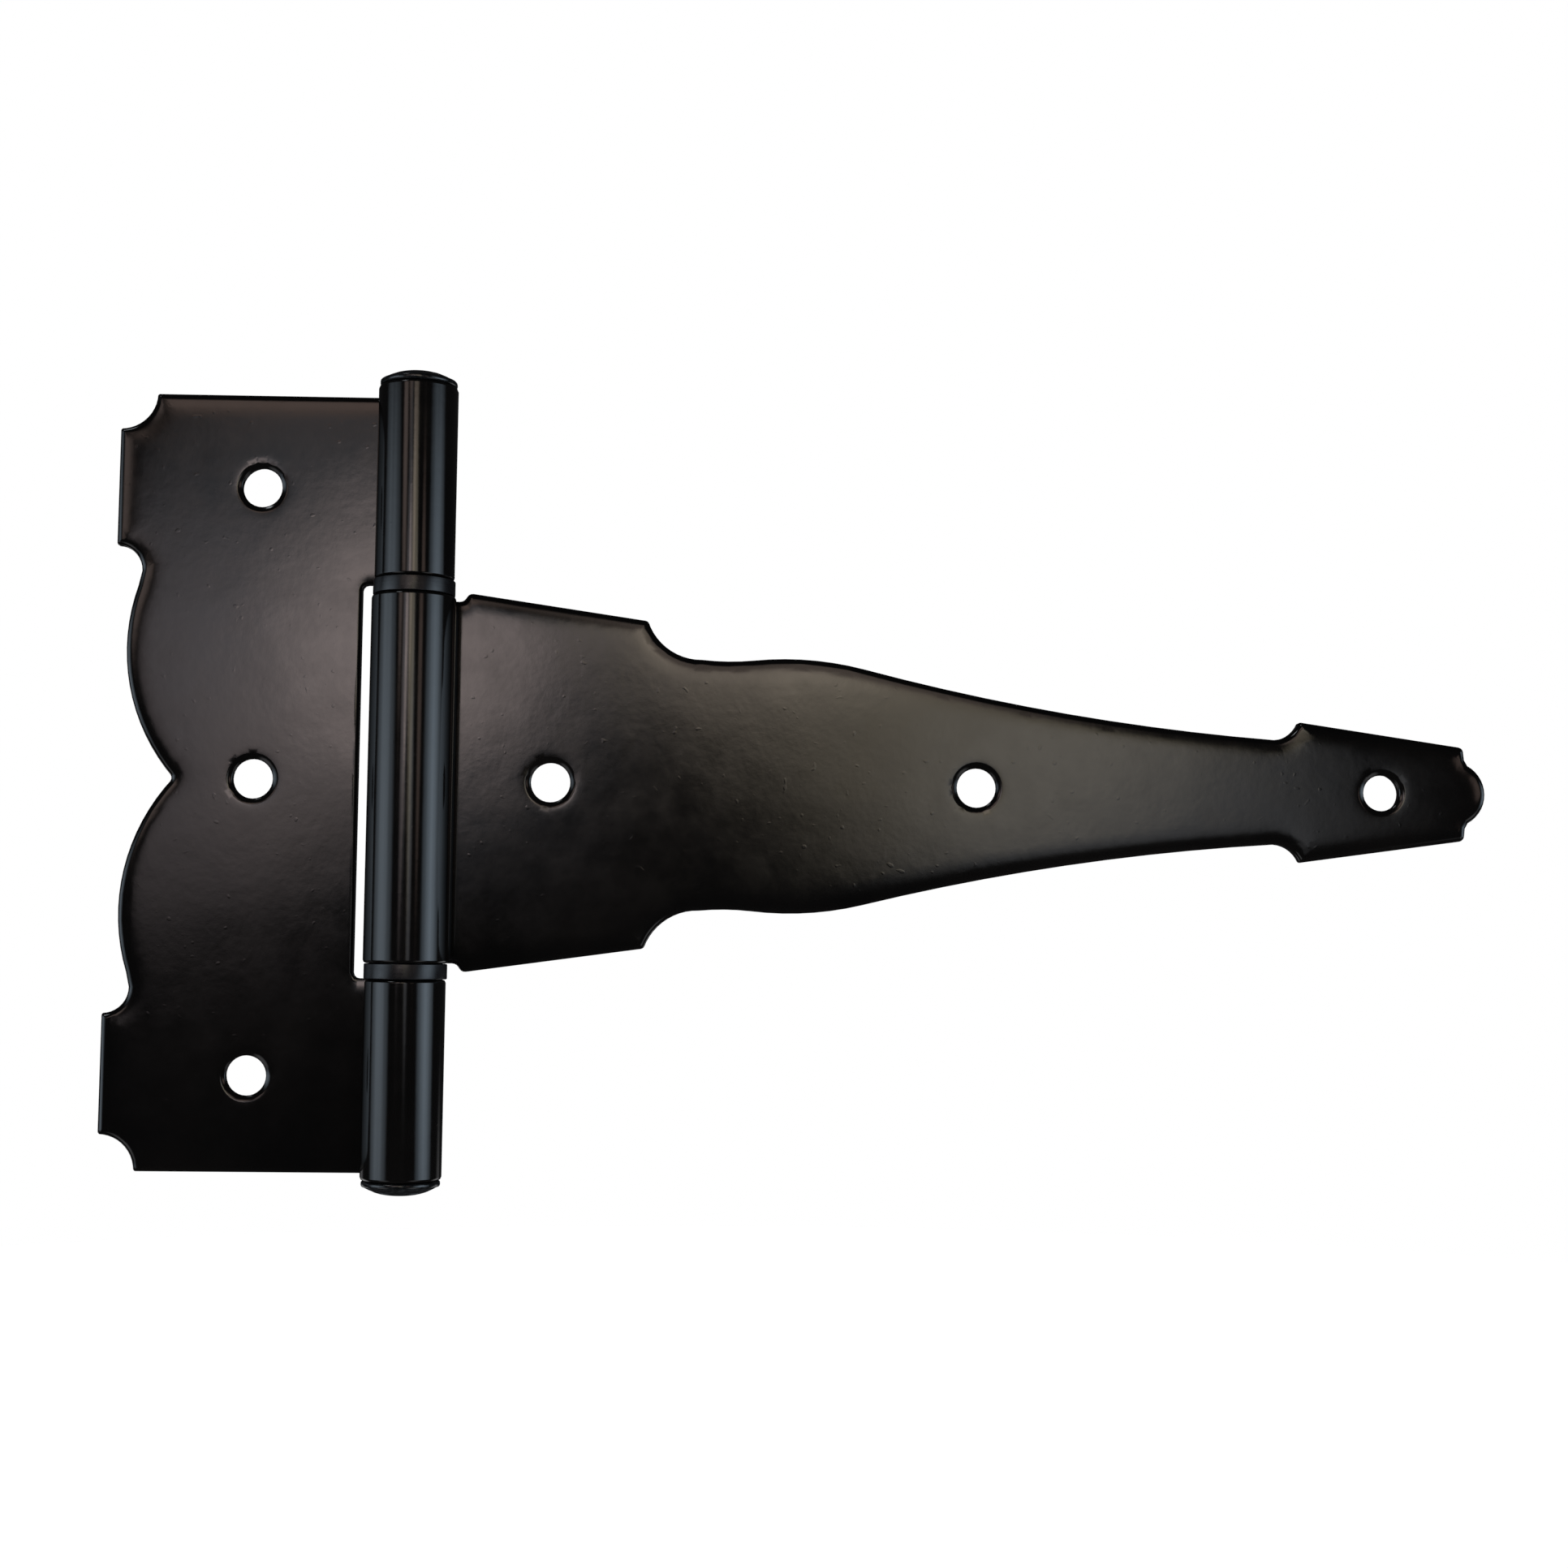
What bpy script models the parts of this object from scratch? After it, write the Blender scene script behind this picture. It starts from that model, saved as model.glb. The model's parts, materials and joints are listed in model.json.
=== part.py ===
"""Ornamental T hinge for a gate or a shed door, as the pieces that it comes apart into.

Each leaf is one stamped sheet whose tabs are rolled into knuckles round the pin. The jamb leaf
carries the two end knuckles and the strap carries the long middle one. Flanged bushes in the
middle knuckle take the gate's weight, plain sleeves centre the pin in the end knuckles, and the
pin's ends are riveted over domed washers.

World frame: metres, with the origin on the jamb leaf's flat back, level with its middle screw
hole. +X runs along the strap, -Y points out of the wall and +Z runs up the pin.

Sizes below are millimetres. Outlines are lists of (x, z) points: x is measured from the pin's
axis and z from the middle of the barrel. They run with the sheet on their left-hand side.
"""

import math

import bmesh
import bpy
from mathutils import Matrix, Vector

MM = 0.001

# Pin and barrel
PIN_FROM_ORIGIN = 20.0
PIN_RADIUS = 3.97
BORE_RADIUS = 4.9
RUNNING_GAP = 0.08
SEAT_GAP = 0.06
END_GAP = 0.06
MIDDLE_KNUCKLE_HALF = 34.15
END_KNUCKLE_START = 37.1
END_KNUCKLE_STOP = 73.65
ROLL_GAP = 0.35
ROLL_STEPS = 40

# Jamb leaf
JAMB_SHEET = 2.5
JAMB_KNUCKLE_RADIUS = BORE_RADIUS + JAMB_SHEET
JAMB_EDGE = -56.9
JAMB_HALF_HEIGHT = 73.1
CORNER_COVE = 6.75
SMALL_COVE = 4.85
SMALL_COVE_TOP = 44.0
LOBE_CENTRE = (-17.1, 24.8)
LOBE_RADIUS = 37.4
LOBE_TOP = 36.4
SLOT_EDGE = -10.6
SLOT_CORNER = 1.1
TAB_STEP = (-5.0, -6.2)
JAMB_HOLES = ((-29.8, 55.3), (-30.1, 0.0), (-29.8, -55.3))

# Strap
STRAP_SHEET = 2.9
STRAP_KNUCKLE_RADIUS = BORE_RADIUS + STRAP_SHEET
NECK_END = 8.6
SHOULDER = (9.6, 35.8)
SHOULDER_END = (43.5, 31.0)
COVE_VIA = (46.6, 26.35)
COVE_END = (53.8, 23.75)
WAIST_VIA = (58.6, 23.5)
WAIST_END = (63.6, 23.75)
HUMP_VIA = (72.0, 24.1)
HUMP_END = (84.5, 22.4)
TAPER_VIA = (118.0, 15.3)
TAPER_END = (162.9, 9.95)
TIP_COVE_VIA = (165.9, 11.05)
TIP_SHOULDER = (167.7, 13.4)
TIP_SHOULDER_END = (199.1, 8.9)
NOSE_STEP = (199.35, 6.55)
NOSE_CENTRE = 196.9
NOSE_RADIUS = 6.3
NOSE_START = (199.95, 5.5)
STRAP_HOLES = ((25.6, 0.0), (106.0, 0.0))
TIP_HOLE = (183.2, 0.0)

# Screw holes and stamped edges
HOLE_RADIUS = 3.72
TIP_HOLE_RADIUS = 3.4
RIM_WIDTH = 0.9
RIM_DEPTH = 0.4
BREAK_WIDTH = 0.3
BREAK_DEPTH = 1.1
HOLE_SIDES = 32
OUTER_ROUND = (1.05, 0.95)
SLOT_ROUND = (0.3, 0.3)
BURR_ROUND = 0.25
KNUCKLE_END_ROUND = 0.6
BORE_EDGE_ROUND = 0.15
FRONT_STEPS = 4
BACK_STEPS = 2
RIM_STEPS = 3
CORNER_ROUND = 0.8
CORNER_STEPS = 3
SHARP_TURN = math.radians(28)
ARC_TOLERANCE = 0.02
COINCIDENT = 1e-4

# Bushes, end washers and the pin's riveted ends
BUSH_WALL_RADIUS = BORE_RADIUS - SEAT_GAP
BUSH_BORE_RADIUS = PIN_RADIUS + RUNNING_GAP
BUSH_LENGTH = 20.0
FLANGE_RADIUS = 7.6
FLANGE_THICKNESS = END_KNUCKLE_START - MIDDLE_KNUCKLE_HALF - 2 * END_GAP
BUSH_CHAMFER = 0.15
WASHER_RADIUS = 7.2
WASHER_RIM = 1.15
WASHER_CORNER = 0.4
WASHER_BORE_RADIUS = 4.12
SEAT_RADIUS = 5.0
SEAT_DEPTH = 0.45
DOME_HEIGHT = 1.6
DOME_POWER = 2.6
RIVET_RADIUS = 4.85
DOME_STEP = 0.9
ROUND_SIDES = 48

BLACK_COAT = (0.012, 0.011, 0.011, 1.0)
BLACK_POLYMER = (0.014, 0.014, 0.016, 1.0)
PIN_COAT = (0.016, 0.017, 0.018, 1.0)


def clear_scene():
    for thing in list(bpy.data.objects):
        bpy.data.objects.remove(thing, do_unlink=True)


def material(name, colour, roughness, metallic):
    made = bpy.data.materials.new(name)
    made.use_nodes = True
    shader = made.node_tree.nodes["Principled BSDF"]
    shader.inputs["Base Color"].default_value = colour
    shader.inputs["Roughness"].default_value = roughness
    shader.inputs["Metallic"].default_value = metallic
    return made


# Outlines


def arc(start, via, end, steps=None):
    """Points after start, up to end, on the circle through the three points."""
    a, b, c = Vector(start), Vector(via), Vector(end)
    ab, ac = b - a, c - a
    cross = 2 * (ab.x * ac.y - ab.y * ac.x)
    centre = a + Vector((
        ac.y * ab.length_squared - ab.y * ac.length_squared,
        ab.x * ac.length_squared - ac.x * ab.length_squared,
    )) / cross
    first = math.atan2(a.y - centre.y, a.x - centre.x)
    last = math.atan2(c.y - centre.y, c.x - centre.x)
    turn = (last - first) % math.tau
    if cross < 0:
        turn -= math.tau
    radius = (a - centre).length
    if steps is None:
        steps = math.ceil(abs(turn) / (2 * math.acos(1 - ARC_TOLERANCE / radius)))
    angles = [first + turn * step / steps for step in range(1, steps + 1)]
    return [centre + radius * Vector((math.cos(t), math.sin(t))) for t in angles]


def mirrored(points):
    """The same points below the middle line, in the opposite order."""
    return [Vector((p[0], -p[1])) for p in reversed(points)]


def whole_chain(upper_half):
    """An outline from its upper half, which ends on the middle line or just above it."""
    half = [Vector(p) for p in upper_half]
    lower = mirrored(half)
    if abs(half[-1].y) < COINCIDENT:
        lower = lower[1:]
    return half + lower


def inset(chain, amounts):
    """The chain moved into the sheet, each point by its own amount."""
    made = []
    for i, point in enumerate(chain):
        before = chain[i] - chain[i - 1] if i else chain[1] - chain[0]
        after = chain[i + 1] - chain[i] if i + 1 < len(chain) else before
        a, b = before.normalized(), after.normalized()
        across = Vector((-a.y - b.y, a.x + b.x)).normalized()
        reach = max(0.5, across.dot(Vector((-a.y, a.x))))
        made.append(point + across * amounts[i] / reach)
    return made


def turns_along(chain):
    """How far the chain turns at each of its points, to the left where the sheet's corner juts."""
    turns = [0.0]
    for before, corner, after in zip(chain, chain[1:], chain[2:]):
        turns.append((after - corner).angle_signed(corner - before))
    turns.append(0.0)
    return turns


def rounded_corner(before, corner, after, reach):
    """Points on the arc that leaves one side of a corner reach before it and joins the other."""
    back, ahead = before - corner, after - corner
    cut = min(reach, 0.45 * back.length, 0.45 * ahead.length)
    start = corner + back.normalized() * cut
    end = corner + ahead.normalized() * cut
    if cut < COINCIDENT:
        return [corner] * (CORNER_STEPS + 1)
    middle = corner.lerp((start + end) / 2, 1 / (1 + math.sin(back.angle(ahead) / 2)))
    return [start] + arc(start, middle, end, CORNER_STEPS)


def jamb_outer_chain():
    """From the top knuckle's tab, round the scalloped edge, to the bottom knuckle's tab."""
    edge, top = JAMB_EDGE, JAMB_HALF_HEIGHT
    diagonal = math.sqrt(0.5)
    half = [(0.0, END_KNUCKLE_STOP), (TAB_STEP[0], END_KNUCKLE_STOP), (TAB_STEP[1], top)]
    half.append((edge + CORNER_COVE, top))
    cove_via = (edge + CORNER_COVE * diagonal, top - CORNER_COVE * diagonal)
    half.extend(arc(half[-1], cove_via, (edge, top - CORNER_COVE)))
    half.append((edge, SMALL_COVE_TOP))
    centre = SMALL_COVE_TOP - SMALL_COVE
    cove_via = (edge + SMALL_COVE * diagonal, centre + SMALL_COVE * diagonal)
    half.extend(arc(half[-1], cove_via, (edge + SMALL_COVE, centre)))
    x, z = LOBE_CENTRE
    top_of_lobe = (x - math.sqrt(LOBE_RADIUS ** 2 - (LOBE_TOP - z) ** 2), LOBE_TOP)
    cusp = (x - math.sqrt(LOBE_RADIUS ** 2 - z ** 2), 0.0)
    half.append(top_of_lobe)
    half.extend(arc(top_of_lobe, (x - LOBE_RADIUS, z), cusp))
    return whole_chain(half)


def jamb_slot_chain():
    """From the bottom tab, round the slot that the strap's knuckle turns in, to the top tab."""
    half = [(0.0, END_KNUCKLE_START), (SLOT_EDGE, END_KNUCKLE_START)]
    chain = whole_chain(half)
    chain.reverse()
    return chain


def strap_chain():
    """From the bottom of the strap's tab, round the nose, to the top of its tab."""
    half = [(0.0, MIDDLE_KNUCKLE_HALF), (NECK_END, MIDDLE_KNUCKLE_HALF), SHOULDER, SHOULDER_END]
    half.extend(arc(SHOULDER_END, COVE_VIA, COVE_END))
    half.extend(arc(COVE_END, WAIST_VIA, WAIST_END))
    half.extend(arc(WAIST_END, HUMP_VIA, HUMP_END))
    half.extend(arc(HUMP_END, TAPER_VIA, TAPER_END))
    half.extend(arc(TAPER_END, TIP_COVE_VIA, TIP_SHOULDER))
    half.append(TIP_SHOULDER_END)
    half.append(NOSE_STEP)
    half.append(NOSE_START)
    start = Vector(NOSE_START)
    end = (NOSE_CENTRE + NOSE_RADIUS, 0.0)
    middle = math.atan2(start.y, start.x - NOSE_CENTRE) / 2
    via = (NOSE_CENTRE + NOSE_RADIUS * math.cos(middle), NOSE_RADIUS * math.sin(middle))
    half.extend(arc(start, via, end))
    chain = whole_chain(half)
    chain.reverse()
    return chain


# Stamped and rolled leaves


def quarter_round(steps):
    """Shares of a rounding's width and depth, from the wall to the face that it meets."""
    angles = [math.pi / 2 * step / steps for step in range(steps + 1)]
    return [(1 - math.cos(a), 1 - math.sin(a)) for a in angles]


def edge_row(mesh, chain, corner_round, amounts, heights):
    """Vertices along the chain moved into the sheet, its sharp corners rounded."""
    moved = inset(chain, amounts)
    row = []
    for i, turn in enumerate(turns_along(chain)):
        points = [moved[i]]
        if abs(turn) > SHARP_TURN:
            reach = max(0.0, corner_round - amounts[i] * math.tan(turn / 2))
            points = rounded_corner(moved[i - 1], moved[i], moved[i + 1], reach)
        for point in points:
            place = Vector((point.x, heights[i], point.y))
            if row and (row[-1].co - place).length < COINCIDENT:
                row.append(row[-1])
            else:
                row.append(mesh.verts.new(place))
    return row


def edge_loops(mesh, chain, corner_round, edge_round, radius, sheet):
    """Rows of vertices along the chain, from the back face to the front face."""
    on_roll = [abs(p.x) < COINCIDENT for p in chain]
    outer = [KNUCKLE_END_ROUND if on else BURR_ROUND for on in on_roll]
    width = [BORE_EDGE_ROUND if on else edge_round[0] for on in on_roll]
    depth = [BORE_EDGE_ROUND if on else edge_round[1] for on in on_roll]
    rows = []
    for across, down in reversed(quarter_round(BACK_STEPS)):
        amounts = [across * r for r in outer]
        heights = [radius - down * r for r in outer]
        rows.append(edge_row(mesh, chain, corner_round, amounts, heights))
    for across, down in quarter_round(FRONT_STEPS):
        amounts = [across * w for w in width]
        heights = [radius - sheet + down * d for d in depth]
        rows.append(edge_row(mesh, chain, corner_round, amounts, heights))
    return rows


def bridge(mesh, rows, closed):
    """Faces between neighbouring rows of vertices."""
    count = len(rows[0])
    last = count if closed else count - 1
    for low, high in zip(rows, rows[1:]):
        for i in range(last):
            j = (i + 1) % count
            corners = list(dict.fromkeys((low[i], low[j], high[j], high[i])))
            if len(corners) > 2:
                mesh.faces.new(corners)


def hole_rows(mesh, place, hole_radius, radius, sheet):
    """Rings down a punched hole: rounded rim, sheared wall, then the wider break to the back."""
    profile = [(BREAK_WIDTH, radius), (0.0, radius - sheet + BREAK_DEPTH)]
    for across, down in quarter_round(FRONT_STEPS):
        profile.append((across * RIM_WIDTH, radius - sheet + down * RIM_DEPTH))
    rows = []
    for out, y in reversed(profile):
        row = []
        for step in range(HOLE_SIDES):
            turn = math.tau * step / HOLE_SIDES
            x = place[0] + (hole_radius + out) * math.cos(turn)
            z = place[1] + (hole_radius + out) * math.sin(turn)
            row.append(mesh.verts.new((x, y, z)))
        rows.append(row)
    return rows


def loop_edges(mesh, verts, closed):
    """The edges along a row of vertices, made where they don't exist yet."""
    pairs = list(zip(verts, verts[1:]))
    if closed:
        pairs.append((verts[-1], verts[0]))
    edges = []
    for a, b in pairs:
        if a is b:
            continue
        found = mesh.edges.get((a, b))
        edges.append(found if found else mesh.edges.new((a, b)))
    return edges


def roll(mesh, section, radius, sheet, side):
    """Carries a tab's end section round the pin until it nearly meets the sheet's front."""
    meeting = math.asin((radius - sheet - ROLL_GAP) / radius)
    angle = side * (math.tau - (math.pi / 2 - meeting))
    made = bmesh.ops.spin(
        mesh, geom=section, cent=(0, 0, 0), axis=(0, 0, 1), angle=angle, steps=ROLL_STEPS)
    last = [e for e in made["geom_last"] if isinstance(e, bmesh.types.BMEdge)]
    bmesh.ops.edgeloop_fill(mesh, edges=last)


def rolled_leaf(name, chains, holes, radius, sheet, side):
    """A stamped sheet with its back at y = radius, rolled round the z axis at x = 0.

    Each chain comes with how far its corners are rounded, and its front edge's width and depth.
    """
    mesh = bmesh.new()
    rows = [edge_loops(mesh, *chain, radius, sheet) for chain in chains]
    for chain_rows in rows:
        bridge(mesh, chain_rows, closed=False)
    wells = [hole_rows(mesh, place, size, radius, sheet) for place, size in holes]
    for well in wells:
        bridge(mesh, well, closed=True)
    sections = []
    for face, well_row in ((0, -1), (-1, 0)):
        outline = [v for chain_rows in rows for v in chain_rows[face]]
        edges = loop_edges(mesh, outline, closed=True)
        for well in wells:
            edges += loop_edges(mesh, well[well_row], closed=True)
        bmesh.ops.triangle_fill(mesh, edges=edges, use_beauty=True)
    for here, there in zip(rows, rows[1:] + rows[:1]):
        end = [row[-1] for row in here]
        start = [row[0] for row in reversed(there)]
        sections.append(loop_edges(mesh, end + start, closed=True))
    for section in sections:
        roll(mesh, section, radius, sheet, side)
    bmesh.ops.recalc_face_normals(mesh, faces=mesh.faces)
    return finished(name, mesh)


def finished(name, mesh):
    """The object of a mesh drawn in millimetres, smooth except at its sharp edges."""
    bmesh.ops.scale(mesh, vec=(MM, MM, MM), verts=mesh.verts)
    data = bpy.data.meshes.new(name)
    mesh.to_mesh(data)
    mesh.free()
    data.shade_smooth()
    data.set_sharp_from_angle(angle=math.radians(40))
    made = bpy.data.objects.new(name, data)
    bpy.context.scene.collection.objects.link(made)
    return made


def jamb_leaf():
    chains = [
        (jamb_outer_chain(), CORNER_ROUND, OUTER_ROUND),
        (jamb_slot_chain(), SLOT_CORNER, SLOT_ROUND),
    ]
    holes = [(place, HOLE_RADIUS) for place in JAMB_HOLES]
    return rolled_leaf("jamb_leaf", chains, holes, JAMB_KNUCKLE_RADIUS, JAMB_SHEET, side=-1)


def strap_leaf():
    chains = [(strap_chain(), CORNER_ROUND, OUTER_ROUND)]
    holes = [(place, HOLE_RADIUS) for place in STRAP_HOLES] + [(TIP_HOLE, TIP_HOLE_RADIUS)]
    return rolled_leaf("strap_leaf", chains, holes, STRAP_KNUCKLE_RADIUS, STRAP_SHEET, side=1)


# Turned pieces


def turned(name, profile, closed):
    """A profile of (radius, height) points turned round the z axis."""
    mesh = bmesh.new()
    verts = [mesh.verts.new((r, 0, z)) for r, z in profile]
    edges = loop_edges(mesh, verts, closed)
    bmesh.ops.spin(
        mesh, geom=edges, cent=(0, 0, 0), axis=(0, 0, 1), angle=math.tau,
        steps=ROUND_SIDES, use_merge=True)
    bmesh.ops.remove_doubles(mesh, verts=mesh.verts, dist=COINCIDENT)
    bmesh.ops.recalc_face_normals(mesh, faces=mesh.faces)
    return finished(name, mesh)


def flanged_bush(name):
    """Origin where the sleeve enters the knuckle; the flange is above it."""
    inner, wall, cut = BUSH_BORE_RADIUS, BUSH_WALL_RADIUS, BUSH_CHAMFER
    low, high = END_GAP, END_GAP + FLANGE_THICKNESS
    return turned(name, [
        (inner, -BUSH_LENGTH), (wall - cut, -BUSH_LENGTH), (wall, -BUSH_LENGTH + cut),
        (wall, low), (FLANGE_RADIUS - cut, low), (FLANGE_RADIUS, low + cut),
        (FLANGE_RADIUS, high - cut), (FLANGE_RADIUS - cut, high), (inner, high),
    ], closed=True)


def sleeve_bush(name):
    """Origin at the middle of its length."""
    half = (END_KNUCKLE_STOP - END_KNUCKLE_START) / 2 - END_GAP
    inner, wall, cut = BUSH_BORE_RADIUS, BUSH_WALL_RADIUS, BUSH_CHAMFER
    return turned(name, [
        (inner, -half), (wall - cut, -half), (wall, -half + cut),
        (wall, half - cut), (wall - cut, half), (inner, half),
    ], closed=True)


def dome(radius):
    """Height of the washer's and the rivet's common dome above the washer's underside."""
    share = radius / (WASHER_RADIUS - WASHER_CORNER)
    return WASHER_RIM + DOME_HEIGHT * (1 - share ** DOME_POWER)


def dome_points(outer, inner):
    """Profile points over the dome, from an outer radius to an inner one."""
    steps = math.ceil((outer - inner) / DOME_STEP)
    radii = [outer + (inner - outer) * step / steps for step in range(steps + 1)]
    return [(r, dome(r)) for r in radii]


def end_washer(name):
    """Origin in the plane of its flat underside; the dome is above it."""
    corner = WASHER_RADIUS - WASHER_CORNER
    rim = [(WASHER_BORE_RADIUS, 0.0)]
    for across, down in reversed(quarter_round(RIM_STEPS)):
        rim.append((WASHER_RADIUS - across * WASHER_CORNER, down * WASHER_CORNER))
    for across, down in quarter_round(RIM_STEPS)[:-1]:
        rim.append((WASHER_RADIUS - across * WASHER_CORNER, WASHER_RIM - down * WASHER_CORNER))
    seat = dome(SEAT_RADIUS) - SEAT_DEPTH
    return turned(name, rim + dome_points(corner, SEAT_RADIUS) + [
        (SEAT_RADIUS, seat), (WASHER_BORE_RADIUS, seat)], closed=True)


def hinge_pin():
    """Origin at the middle of its length. Its domed ends are riveted into the washers' seats."""
    base = END_KNUCKLE_STOP + END_GAP
    seat = base + dome(SEAT_RADIUS) - SEAT_DEPTH + END_GAP
    half = [(PIN_RADIUS, seat), (RIVET_RADIUS, seat)]
    half += [(r, base + height) for r, height in dome_points(RIVET_RADIUS, 0.0)]
    lower = [(r, -z) for r, z in reversed(half)]
    return turned("hinge_pin", lower + half, closed=False)


# Assembly


def pivot_frame():
    """An empty on the pin's axis, at the middle of the barrel, that everything hangs from."""
    frame = bpy.data.objects.new("pin_axis", None)
    frame.location = Vector((PIN_FROM_ORIGIN, -JAMB_KNUCKLE_RADIUS, 0)) * MM
    bpy.context.scene.collection.objects.link(frame)
    return frame


def place(piece, frame, height, upright, finish):
    """Puts a piece on the pin's axis at a height, the right way up or turned over."""
    piece.parent = frame
    piece.location = (0, 0, height * MM)
    if not upright:
        piece.rotation_euler = (math.pi, 0, 0)
    piece.data.materials.append(finish)


def build():
    clear_scene()
    coat = material("black_coat", BLACK_COAT, roughness=0.32, metallic=0.0)
    polymer = material("black_polymer", BLACK_POLYMER, roughness=0.38, metallic=0.0)
    pin_coat = material("pin_coat", PIN_COAT, roughness=0.45, metallic=0.0)
    frame = pivot_frame()
    place(jamb_leaf(), frame, 0, True, coat)
    place(strap_leaf(), frame, 0, True, coat)
    place(hinge_pin(), frame, 0, True, pin_coat)
    sleeve_middle = (END_KNUCKLE_START + END_KNUCKLE_STOP) / 2
    washer_seat = END_KNUCKLE_STOP + END_GAP
    for word, end_word, upright in (("upper", "top", True), ("lower", "bottom", False)):
        way = 1 if upright else -1
        bush = flanged_bush(word + "_flanged_bush")
        place(bush, frame, way * MIDDLE_KNUCKLE_HALF, upright, polymer)
        place(sleeve_bush(word + "_sleeve_bush"), frame, way * sleeve_middle, upright, polymer)
        place(end_washer(end_word + "_end_washer"), frame, way * washer_seat, upright, pin_coat)


build()
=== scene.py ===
"""The T hinge as it looks: black powder-coated steel in soft studio light.

Every visible piece is made from its CAD node: the node's mesh is welded and shaded smooth. The
leaves' front faces are remade with a slight crown, and the end washers get the dents of riveting.
Sizes are in metres, except the crown's, which are in millimetres.
"""

import json
import math

import bmesh
import bpy
import numpy as np
from mathutils import Euler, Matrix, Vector, noise
from mathutils.geometry import delaunay_2d_cdt


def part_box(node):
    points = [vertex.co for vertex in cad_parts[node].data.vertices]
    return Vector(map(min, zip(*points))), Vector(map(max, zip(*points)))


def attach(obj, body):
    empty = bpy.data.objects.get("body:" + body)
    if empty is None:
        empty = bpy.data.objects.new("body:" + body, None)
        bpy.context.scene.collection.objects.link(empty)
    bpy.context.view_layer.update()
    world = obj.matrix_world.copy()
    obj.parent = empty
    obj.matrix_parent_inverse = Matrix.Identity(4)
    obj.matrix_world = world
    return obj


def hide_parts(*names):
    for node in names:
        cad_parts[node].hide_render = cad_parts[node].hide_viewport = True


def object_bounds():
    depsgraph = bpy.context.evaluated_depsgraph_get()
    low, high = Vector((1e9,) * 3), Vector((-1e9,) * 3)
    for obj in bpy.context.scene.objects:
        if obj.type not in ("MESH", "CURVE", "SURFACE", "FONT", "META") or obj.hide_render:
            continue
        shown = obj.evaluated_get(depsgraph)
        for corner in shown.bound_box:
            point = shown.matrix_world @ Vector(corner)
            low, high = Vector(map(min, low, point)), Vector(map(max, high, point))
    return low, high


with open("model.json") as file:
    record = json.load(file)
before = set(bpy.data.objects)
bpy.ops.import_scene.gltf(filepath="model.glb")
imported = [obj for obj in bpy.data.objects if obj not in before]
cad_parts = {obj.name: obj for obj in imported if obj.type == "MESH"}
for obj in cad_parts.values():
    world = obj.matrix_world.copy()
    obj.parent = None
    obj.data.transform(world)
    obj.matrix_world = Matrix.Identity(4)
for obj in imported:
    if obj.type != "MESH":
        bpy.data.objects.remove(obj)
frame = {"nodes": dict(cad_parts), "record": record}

MM = 0.001
cad_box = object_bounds()


# Materials


class Nodes:
    """Short names for building one material's node tree."""

    def __init__(self, name):
        self.material = bpy.data.materials.new(name)
        self.material.use_nodes = True
        self.tree = self.material.node_tree
        self.shader = self.tree.nodes["Principled BSDF"]
        self.place = self.add("ShaderNodeTexCoord").outputs["Object"]

    def add(self, kind, **settings):
        made = self.tree.nodes.new(kind)
        for key, value in settings.items():
            setattr(made, key, value)
        return made

    def link(self, out, into):
        self.tree.links.new(out, into)

    def noise(self, size, detail=3.0, roughness=0.5, distortion=0.0):
        """Noise whose lumps are about size metres across."""
        made = self.add("ShaderNodeTexNoise")
        made.inputs["Scale"].default_value = 1 / size
        made.inputs["Detail"].default_value = detail
        made.inputs["Roughness"].default_value = roughness
        made.inputs["Distortion"].default_value = distortion
        self.link(self.place, made.inputs["Vector"])
        return made.outputs["Fac"]

    def spread(self, value, low, high, to_low=0.0, to_high=1.0):
        """The value's range from low to high stretched over another, and held at its ends."""
        made = self.add("ShaderNodeMapRange")
        for name, number in zip(("From Min", "From Max", "To Min", "To Max"), (low, high, to_low, to_high)):
            made.inputs[name].default_value = number
        self.link(value, made.inputs["Value"])
        return made.outputs["Result"]

    def math(self, kind, a, b):
        made = self.add("ShaderNodeMath", operation=kind)
        for socket, value in zip(made.inputs, (a, b)):
            if isinstance(value, (int, float)):
                socket.default_value = value
            else:
                self.link(value, socket)
        return made.outputs[0]

    def mix(self, share, a, b):
        """One colour where share is 0 and the other where it is 1."""
        made = self.add("ShaderNodeMix", data_type="RGBA")
        self.link(share, made.inputs["Factor"])
        for socket, colour in ((made.inputs[6], a), (made.inputs[7], b)):
            if isinstance(colour, tuple):
                socket.default_value = (*colour, 1)
            else:
                self.link(colour, socket)
        return made.outputs[2]

    def bump(self, height, depth, under=None):
        """A bump whose height runs over depth metres."""
        made = self.add("ShaderNodeBump")
        made.inputs["Distance"].default_value = depth
        self.link(height, made.inputs["Height"])
        if under:
            self.link(under, made.inputs["Normal"])
        return made.outputs["Normal"]


def powder_coat():
    """Satin-gloss black powder coat: slow waves, fine orange peel, a few dust nibs."""
    n = Nodes("powder_coat")
    cloud = n.noise(28 * MM, detail=4)
    n.link(n.mix(n.spread(cloud, 0.35, 0.65), (0.0022, 0.0021, 0.0021), (0.0042, 0.0038, 0.0036)),
           n.shader.inputs["Base Color"])
    grain = n.noise(6 * MM, detail=6, roughness=0.6)
    n.link(n.spread(grain, 0.3, 0.7, 0.08, 0.13), n.shader.inputs["Roughness"])
    waves = n.bump(n.noise(7 * MM, detail=2, distortion=0.3), 0.014 * MM)
    peel = n.bump(n.noise(1.2 * MM, detail=3), 0.004 * MM, waves)
    nib = n.spread(n.noise(1.1 * MM, detail=0), 0.80, 0.90)
    n.link(n.bump(nib, 0.005 * MM, peel), n.shader.inputs["Normal"])
    return n.material


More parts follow.
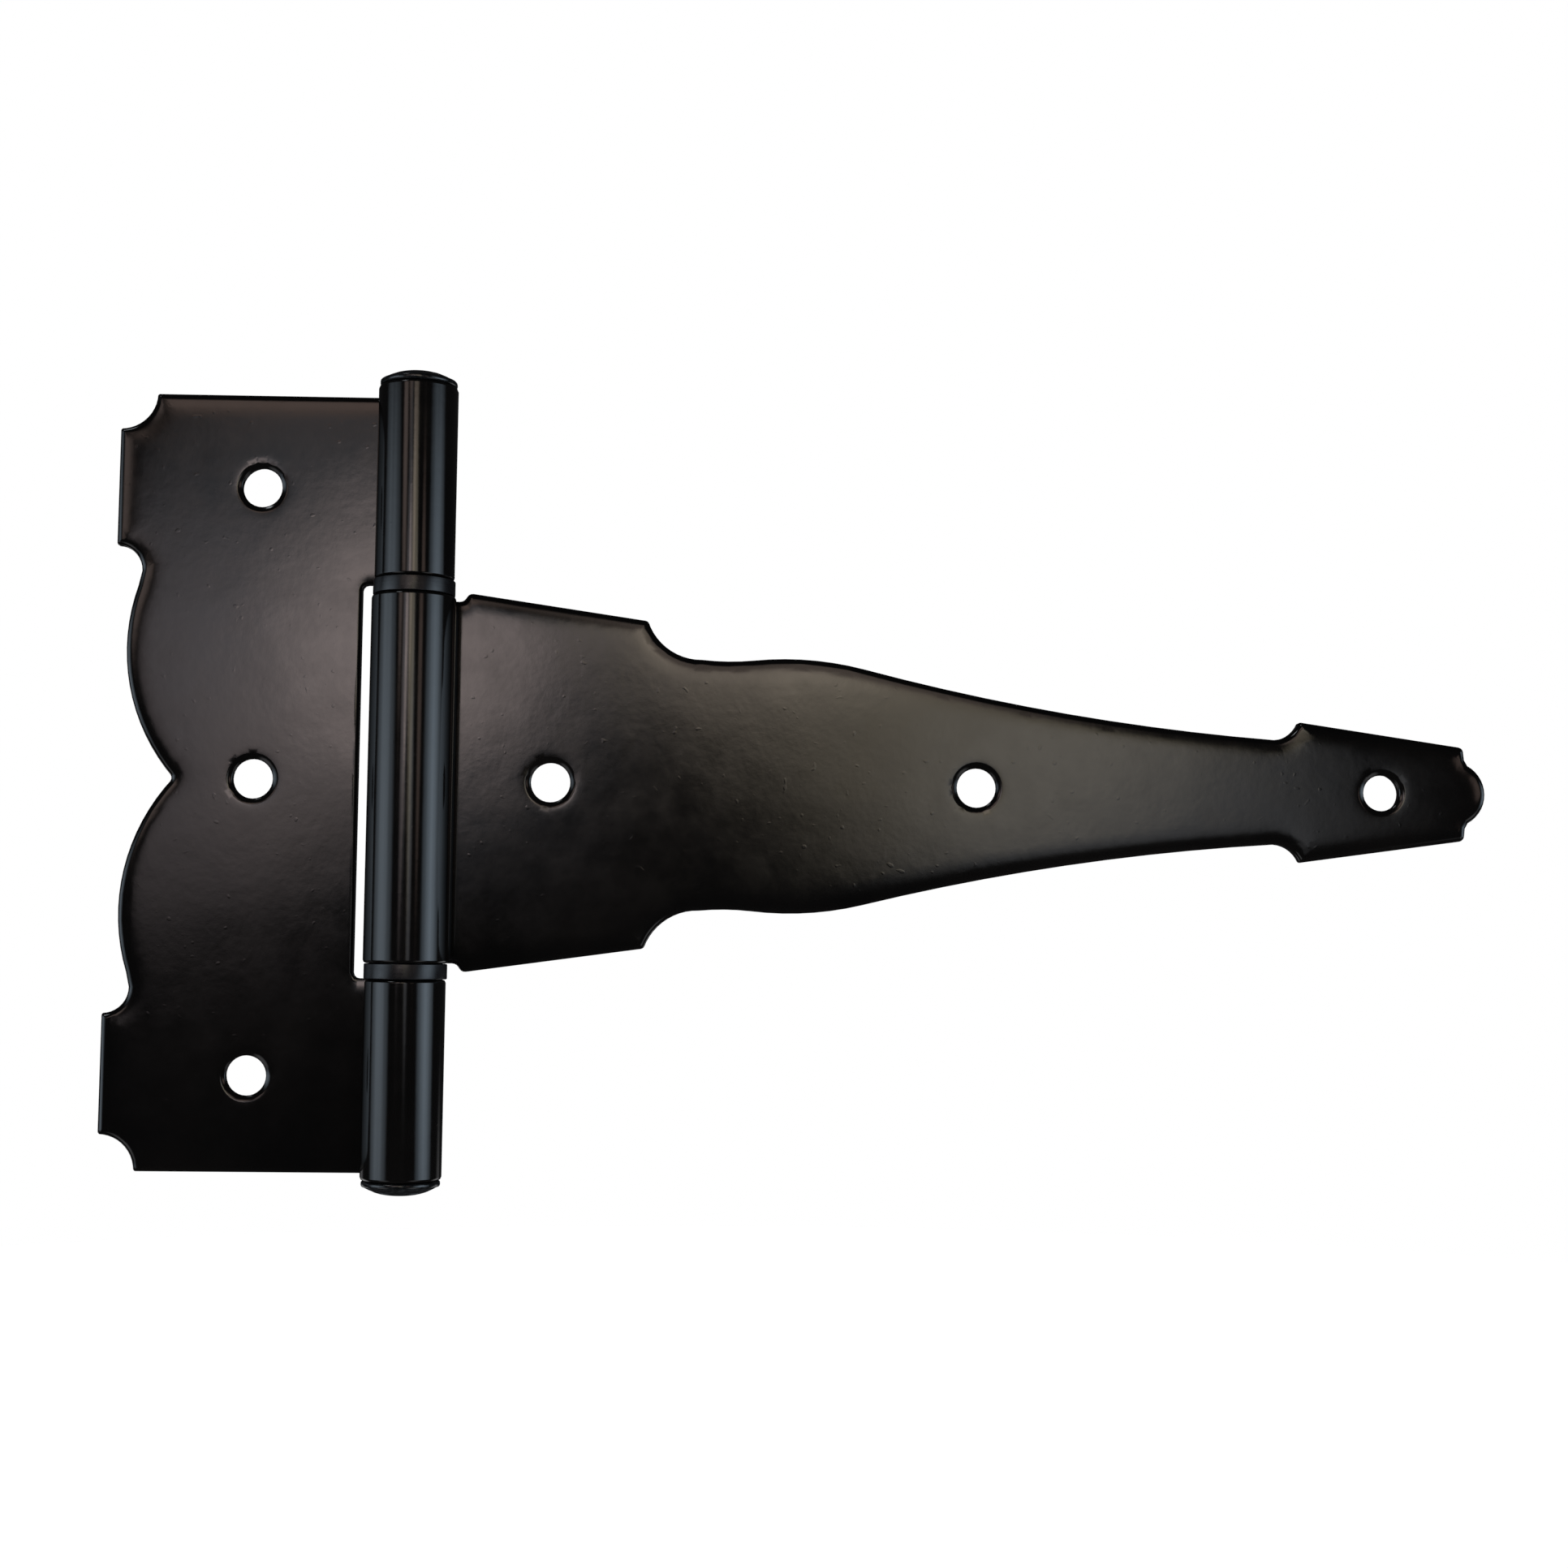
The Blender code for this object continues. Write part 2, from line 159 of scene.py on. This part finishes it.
def polymer():
    """Smooth turned black polymer, with faint rings from the lathe."""
    n = Nodes("bush_polymer")
    cloud = n.noise(9 * MM)
    n.link(n.mix(cloud, (0.004, 0.004, 0.005), (0.007, 0.007, 0.008)), n.shader.inputs["Base Color"])
    n.link(n.spread(n.noise(2 * MM), 0.3, 0.7, 0.24, 0.34), n.shader.inputs["Roughness"])
    rings = n.add("ShaderNodeTexWave", bands_direction="Z")
    rings.inputs["Scale"].default_value = 1 / (2.4 * MM)
    rings.inputs["Distortion"].default_value = 0.4
    n.link(n.place, rings.inputs["Vector"])
    n.link(n.bump(rings.outputs["Fac"], 0.002 * MM), n.shader.inputs["Normal"])
    return n.material


def hammered_coat():
    """Black coat over hammered steel, with a painted highlight: the high spots of its lumps are greyer."""
    n = Nodes("hammered_coat")
    lumps = n.noise(1.1 * MM, detail=3, roughness=0.6)
    # painted highlight: the high spots of the lumps get a greyer, bluish base colour
    n.link(n.mix(n.spread(lumps, 0.45, 0.7), (0.004, 0.0045, 0.005), (0.014, 0.016, 0.018)),
           n.shader.inputs["Base Color"])
    n.link(n.spread(n.noise(0.8 * MM), 0.3, 0.7, 0.10, 0.20), n.shader.inputs["Roughness"])
    n.link(n.bump(lumps, 0.03 * MM), n.shader.inputs["Normal"])
    return n.material


# Pieces


def welded(node):
    """A bmesh of a CAD node with its split corners joined."""
    mesh = bmesh.new()
    mesh.from_mesh(frame["nodes"][node].data)
    bmesh.ops.remove_doubles(mesh, verts=mesh.verts, dist=WELD_DISTANCE)
    return mesh


def gap_to(edges, points):
    """How far each point is from the nearest of the edges, in millimetres."""
    starts, ends = edges[:, 0], edges[:, 1]
    along = ends - starts
    off = points[:, None] - starts
    share = np.clip((off * along).sum(2) / (along ** 2).sum(1), 0, 1)
    return np.linalg.norm(off - share[..., None] * along, axis=2).min(1)


def on_sheet(rim, points):
    """Whether each point is on the sheet, counting the rim edges that lie to its right."""
    (x1, z1), (x2, z2) = rim[:, 0].T, rim[:, 1].T
    x, z = points[:, :1], points[:, 1:]
    level = (z1 > z) != (z2 > z)
    crossing = x1 + (z - z1) * (x2 - x1) / np.where(z1 == z2, 1, z2 - z1)
    return (level & (x < crossing)).sum(1) % 2 == 1


def crown_points(rim, inward):
    """Rows of points along the rim, a few reaches inside it, and a looser grid in the middle."""
    rows = []
    for (start, end), into in zip(rim, inward):
        steps = math.ceil(np.linalg.norm(end - start) / ROW_SPACING)
        along = start + (end - start) * (np.arange(steps) / steps)[:, None]
        rows += [along + into * reach for reach in CROWN_ROWS]
    kept = []
    for row, reach in zip(rows, CROWN_ROWS * len(rim)):
        kept.append(row[gap_to(rim, row) > ROW_KEPT * reach])
    low, high = rim.min((0, 1)), rim.max((0, 1))
    grid = np.stack(np.meshgrid(*(np.arange(a, b, GRID_SPACING) for a, b in zip(low, high))), -1)
    grid[::2, :, 0] += GRID_SPACING / 2
    grid = grid.reshape(-1, 2)
    kept.append(grid[gap_to(rim, grid) > CROWN_ROWS[-1] + GRID_SPACING / 2])
    return np.concatenate(kept)


def crown(points, outline, holes):
    """How far the front face stands proud at each point, in millimetres."""
    from_edge, from_hole = gap_to(outline, points), gap_to(holes, points)
    heights = CROWN_HEIGHT * (1 - np.exp(-from_edge / CROWN_FADE))
    heights -= HOLE_DIP * np.exp(-from_hole / HOLE_FADE)
    settled = np.clip(np.minimum(from_edge, from_hole) / WAVE_SIZE, 0, 1)
    waves = [noise.noise((x / WAVE_SIZE, 0, z / WAVE_SIZE)) for x, z in points]
    return heights + WAVE_HEIGHT * settled * np.array(waves)


def sorted_rim(rim):
    """The rim's edges along the sheet's outline, and those round its screw holes.

    The slot's edges are left out, because they were cut after the sheet was pressed.
    """
    middles = rim.mean(1)
    round_hole = np.zeros(len(rim), bool)
    for opening in frame["record"]["physics"]["openings"]:
        spot = np.mean(opening["box_m"], axis=0)[[0, 2]] / MM
        round_hole |= np.linalg.norm(middles - spot, axis=1) < HOLE_REACH
    low, high = (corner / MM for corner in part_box("upper_flanged_bush"))
    beside = (middles[:, 0] < low.x) & (middles[:, 0] > low.x - SLOT_REACH)
    in_slot = beside & (abs(middles[:, 1]) < high.z + SLOT_MARGIN)
    return rim[~round_hole & ~in_slot], rim[round_hole]


def crowned(mesh, front):
    """Remakes a sheet's flat front face, falling away gently to its edges and holes."""
    flat = [f for f in mesh.faces
            if -f.normal.y > FACES_FRONT and abs(f.calc_center_median().y - front) < LEVEL_WITHIN]
    inside = set(flat)
    rim_edges = [e for f in flat for e in f.edges if sum(g in inside for g in e.link_faces) == 1]
    rim_verts = list({v: None for e in rim_edges for v in e.verts})
    place = {v: np.array((v.co.x, v.co.z)) / MM for v in rim_verts}
    rim = np.array([[place[v] for v in e.verts] for e in rim_edges])
    inward = []
    for edge, (start, end) in zip(rim_edges, rim):
        face = next(g for g in edge.link_faces if g in inside)
        middle = face.calc_center_median()
        across = np.array((start[1] - end[1], end[0] - start[0]))
        across *= np.sign(across @ (np.array((middle.x, middle.z)) / MM - start))
        inward.append(across / np.linalg.norm(across))
    index = {v: i for i, v in enumerate(rim_verts)}
    points = np.concatenate([[place[v] for v in rim_verts], crown_points(rim, inward)])
    ties = [tuple(index[v] for v in e.verts) for e in rim_edges]
    flat_points = [Vector(p) for p in points]
    _, _, faces, origins, _, _ = delaunay_2d_cdt(flat_points, ties, [], WHOLE_HULL, MERGE_WITHIN)
    corners = np.array([[origins[i][0] for i in face] for face in faces])
    corners = corners[on_sheet(rim, points[corners].mean(1))]
    used = np.unique(corners)
    bmesh.ops.delete(mesh, geom=flat, context="FACES")
    heights = crown(points[used], *sorted_rim(rim)) * MM
    made = {}
    for i, height in zip(used, heights):
        x, z = points[i] * MM
        made[i] = rim_verts[i] if i < len(rim_verts) else mesh.verts.new((x, front, z))
        made[i].co.y = front - height
    for face in corners:
        mesh.faces.new([made[i] for i in face])
    bmesh.ops.recalc_face_normals(mesh, faces=mesh.faces)


def shown(name, mesh, body, finish, *nodes):
    """The piece that stands for the CAD nodes, smooth except at its sharp edges."""
    mesh.normal_update()
    for edge in mesh.edges:
        edge.smooth = edge.calc_face_angle(0) < SHARP_EDGE
    data = bpy.data.meshes.new(name)
    mesh.to_mesh(data)
    mesh.free()
    data.shade_smooth()
    data.materials.append(finish)
    piece = bpy.data.objects.new(name, data)
    bpy.context.scene.collection.objects.link(piece)
    weights = piece.modifiers.new("flat faces stay flat", "WEIGHTED_NORMAL")
    weights.keep_sharp = True
    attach(piece, body)
    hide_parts(*nodes)
    return piece


def leaf(node):
    """A leaf's mesh with its front face crowned."""
    mesh = welded(node)
    crowned(mesh, -SHEET_FRONT)
    return mesh


def hammered(node):
    """A washer's mesh with the dents that riveting leaves, pushed in along its normals."""
    mesh = welded(node)
    bmesh.ops.subdivide_edges(mesh, edges=mesh.edges, cuts=1, use_grid_fill=True)
    mesh.normal_update()
    pushes = [(v, v.normal.copy(), noise.noise(v.co / DENT_SIZE)) for v in mesh.verts]
    for vert, out, lump in pushes:
        vert.co += out * DENT_DEPTH * (lump - 1) / 2
    return mesh


# Scene


def towards(azimuth, elevation):
    """The direction so many degrees right of the camera side and above level."""
    a, e = math.radians(azimuth), math.radians(elevation)
    return Vector((math.sin(a) * math.cos(e), -math.cos(a) * math.cos(e), math.sin(e)))


def vector_math(tree, kind, *values):
    made = tree.nodes.new("ShaderNodeVectorMath")
    made.operation = kind
    for socket, value in zip(made.inputs, values):
        if isinstance(value, bpy.types.NodeSocket):
            tree.links.new(value, socket)
        else:
            socket.default_value = value
    return made


def studio():
    """White behind the hinge for the eye, and the room's soft lights for its reflections."""
    world = bpy.data.worlds.new("studio")
    bpy.context.scene.world = world
    world.use_nodes = True
    tree = world.node_tree
    tree.nodes.clear()
    way = tree.nodes.new("ShaderNodeTexCoord").outputs["Generated"]
    total = vector_math(tree, "ADD", (0, 0, 0), ROOM_SHADE).outputs[0]
    for azimuth, elevation, reach, colour in ROOM:
        facing = vector_math(tree, "DOT_PRODUCT", way, towards(azimuth, elevation)).outputs["Value"]
        near = tree.nodes.new("ShaderNodeMapRange")
        near.interpolation_type = "SMOOTHSTEP"
        near.inputs["From Min"].default_value = math.cos(math.radians(reach))
        tree.links.new(facing, near.inputs["Value"])
        glow = vector_math(tree, "SCALE", colour)
        tree.links.new(near.outputs["Result"], glow.inputs["Scale"])
        total = vector_math(tree, "ADD", total, glow.outputs[0]).outputs[0]
    lit = tree.nodes.new("ShaderNodeBackground")
    tree.links.new(total, lit.inputs["Color"])
    seen = tree.nodes.new("ShaderNodeBackground")
    seen.inputs["Color"].default_value = (1, 1, 1, 1)
    choice = tree.nodes.new("ShaderNodeMixShader")
    tree.links.new(tree.nodes.new("ShaderNodeLightPath").outputs["Is Camera Ray"], choice.inputs["Fac"])
    tree.links.new(lit.outputs[0], choice.inputs[1])
    tree.links.new(seen.outputs[0], choice.inputs[2])
    out = tree.nodes.new("ShaderNodeOutputWorld")
    tree.links.new(choice.outputs[0], out.inputs["Surface"])


def floor():
    """A pale round floor below the hinge that fades into the pale room."""
    mesh = bmesh.new()
    bmesh.ops.create_circle(mesh, cap_ends=True, segments=FLOOR_SIDES, radius=FLOOR_RADIUS)
    data = bpy.data.meshes.new("floor")
    mesh.to_mesh(data)
    mesh.free()
    piece = bpy.data.objects.new("floor", data)
    low, high = cad_box
    piece.location = ((low.x + high.x) / 2, 0, low.z - FLOOR_DROP)
    bpy.context.scene.collection.objects.link(piece)
    material = bpy.data.materials.new("floor")
    material.use_nodes = True
    shader = material.node_tree.nodes["Principled BSDF"]
    shader.inputs["Base Color"].default_value = (0.8, 0.8, 0.8, 1)
    shader.inputs["Roughness"].default_value = 0.9
    shader.inputs["Emission Color"].default_value = (1, 1, 1, 1)
    shader.inputs["Emission Strength"].default_value = FLOOR_GLOW
    data.materials.append(material)
    piece.visible_glossy = False


def camera():
    """The camera that took the photograph, recovered from the hinge's outline."""
    data = bpy.data.cameras.new("camera")
    data.lens = CAMERA_LENS
    data.sensor_width = CAMERA_SENSOR
    piece = bpy.data.objects.new("camera", data)
    piece.location = CAMERA_PLACE
    piece.rotation_euler = Euler([math.radians(a) for a in CAMERA_TURN])
    bpy.context.scene.collection.objects.link(piece)
    bpy.context.scene.camera = piece


# The camera: millimetres of lens and sensor, metres and degrees
CAMERA_LENS = 50.31
CAMERA_SENSOR = 36
CAMERA_PLACE = (0.0783, -0.4146, -0.0303)
CAMERA_TURN = (94.241, -0.627, -1.613)

FLOOR_RADIUS = 0.65
FLOOR_DROP = 0.088
FLOOR_SIDES = 96
FLOOR_GLOW = 0.97

WELD_DISTANCE = 0.001 * MM
SHARP_EDGE = math.radians(50)
DENT_DEPTH = 0.06 * MM
DENT_SIZE = 1.6 * MM

# The leaves' flat fronts: how far they stand out, and how true a face is to count as part of one
SHEET_FRONT = 2.5 * MM
FACES_FRONT = 0.999
LEVEL_WITHIN = 0.01 * MM

# The triangulation's output type, and how near two points are to count as one
WHOLE_HULL = 0
MERGE_WITHIN = 1e-5

# The stamped sheets' crown, in millimetres
CROWN_ROWS = [0.3, 0.7, 1.2, 1.8, 2.6, 3.8]
CROWN_HEIGHT = 0.16
CROWN_FADE = 1.3
HOLE_DIP = 0.03
HOLE_FADE = 0.6
HOLE_REACH = 6.0
SLOT_REACH = 7.0
SLOT_MARGIN = 1.5
ROW_KEPT = 0.95
ROW_SPACING = 1.5
GRID_SPACING = 3.0
WAVE_HEIGHT = 0.02
WAVE_SIZE = 13.0

# What the room shows in the hinge's reflections: degrees right of the camera side, degrees above
# level, reach in degrees and colour
ROOM_SHADE = (0.016, 0.016, 0.017)
WARM_WALL = (
    (-9.3, 8.5, 8.4, (0.57, 0.61, 0.69)),
    (-14.5, 5.4, 6.7, (1.0, 0.86, 0.88)),
    (-8, 8, 4.7, (3.5, 2.8, 2.6)),
    (0.5, 10, 5.5, (2.6, 2.2, 1.8)),
    (7, 7.8, 8, (1.76, 1.54, 1.16)),
    (10.5, 3.2, 7.5, (0.8, 0.82, 0.87)),
    (-11, 4.5, 3.5, (0.42, 0.27, 0.18)),
    (-26, 13, 8, (1.3, 1.0, 0.9)),
    (-12, 21, 9, (1.5, 1.1, 0.95)),
    (4, 18, 9, (1.2, 0.95, 0.8)),
    (30, 7, 7, (0.9, 0.66, 0.57)),
)
SIDE_WINDOWS = [
    (azimuth, 1, 19, colour)
    for azimuths, colour in (((-78, -65, -52), (0.8, 0.95, 1.1)), ((60, 71, 82), (0.9, 1.1, 1.3)))
    for azimuth in azimuths
]
LOW_FILL = [(azimuth, -28, 20, (0.8, 0.8, 0.82)) for azimuth in (-48, 48)]
BACK_FILL = [(azimuth, -22, 20, (0.9, 0.9, 0.92)) for azimuth in (-136, 136)]
CEILING = [(-44, 52, 8, (6.0, 6.3, 6.6))]
ROOM = [*WARM_WALL, *SIDE_WINDOWS, *LOW_FILL, *BACK_FILL, *CEILING]

coat = powder_coat()
bush = polymer()
pin_coat = hammered_coat()
for word, body in (("jamb", "jamb"), ("strap", "strap")):
    node = word + "_leaf"
    shown(node + "_coated", leaf(node), body, coat, node)
for word in ("upper", "lower"):
    for node, body in ((word + "_flanged_bush", "strap"), (word + "_sleeve_bush", "jamb")):
        shown(node + "_turned", welded(node), body, bush, node)
for word in ("top", "bottom"):
    node = word + "_end_washer"
    shown(node + "_pressed", hammered(node), "jamb", pin_coat, node)
shown("hinge_pin_riveted", welded("hinge_pin"), "jamb", pin_coat, "hinge_pin")

bpy.context.scene.view_settings.view_transform = "Standard"
studio()
floor()
camera()
